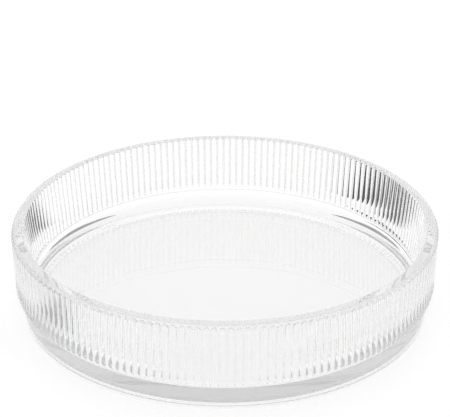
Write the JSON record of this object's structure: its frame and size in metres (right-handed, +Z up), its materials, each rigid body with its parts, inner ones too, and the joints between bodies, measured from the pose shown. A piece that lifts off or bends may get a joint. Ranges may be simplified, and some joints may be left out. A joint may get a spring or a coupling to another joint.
{
  "type": "vanity tray",
  "caption": "Round clear pressed-glass tray with a flat floor, a tall upright ribbed side wall, a smooth rim lip and a smooth recessed foot band.",
  "frame": {"origin": "centre of the foot circle, on the plane that the tray stands on", "axes": "+Z up along the tray's round axis; the tray is round, so X and Y are level and interchangeable"},
  "size_m": [0.24, 0.24, 0.0515],
  "materials": {
    "clear_glass": "polished clear pressed glass"
  },
  "bodies": {
    "root": {"foot_ring": "clear_glass", "floor_plate": "clear_glass", "ribbed_wall": "clear_glass", "rim_lip": "clear_glass"}
  },
  "joints": []
}
